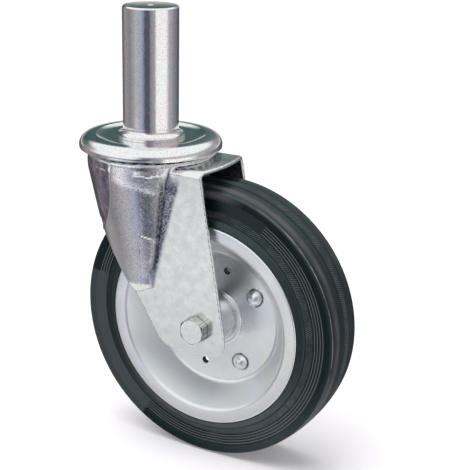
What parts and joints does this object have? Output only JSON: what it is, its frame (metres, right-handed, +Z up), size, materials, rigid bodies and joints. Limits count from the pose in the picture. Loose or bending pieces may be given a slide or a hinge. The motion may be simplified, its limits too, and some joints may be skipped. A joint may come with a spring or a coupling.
{
  "type": "scaffold castor",
  "caption": "Swivel castor for a scaffold tower: a solid stem that plugs into a tube, a double ball race head, a pressed fork and a rubber tyred pressed steel wheel on a bolted axle.",
  "frame": {"origin": "on the swivel axis, where the straight part of the stem starts and a scaffold tube comes to its stop, 4.9 mm above the collar's top face", "axes": "+Z up along the stem and the swivel axis, +X back along the trail from the swivel axis to the axle, +Y along the axle to the nut's side"},
  "size_m": [0.2107, 0.103, 0.3214],
  "materials": {
    "zinc": "bright zinc plate",
    "bearing_steel": "ground, oiled",
    "nylon": "moulded",
    "rubber": "moulded, satin"
  },
  "bodies": {
    "head": {"stem": "zinc", "collar": "zinc", "lower_race": "bearing_steel", "kingpin_washer": "zinc", "kingpin_nut": "zinc"},
    "fork": {"fork": "zinc", "upper_balls": "bearing_steel", "lower_balls": "bearing_steel", "axle_bolt": "zinc", "axle_washer": "zinc", "axle_nut": "zinc", "axle_sleeve": "bearing_steel", "near_thrust_washer": "nylon", "far_thrust_washer": "nylon"},
    "wheel": {"tyre": "rubber", "near_rim_disc": "zinc", "far_rim_disc": "zinc", "rim_rivets": "zinc", "hub_tube": "zinc", "near_hub_cap": "bearing_steel", "far_hub_cap": "bearing_steel", "roller_cage": "nylon", "hub_rollers": "bearing_steel"}
  },
  "joints": [
    {"name": "swivel", "type": "hinge", "parent": "head", "child": "fork", "pos_m": [0, 0, 0], "axis": [0, 0, 1], "continuous": true},
    {"name": "wheel_spin", "type": "hinge", "parent": "fork", "child": "wheel", "pos_m": [0.0577, 0, -0.1338], "axis": [0, 1, 0], "continuous": true}
  ]
}
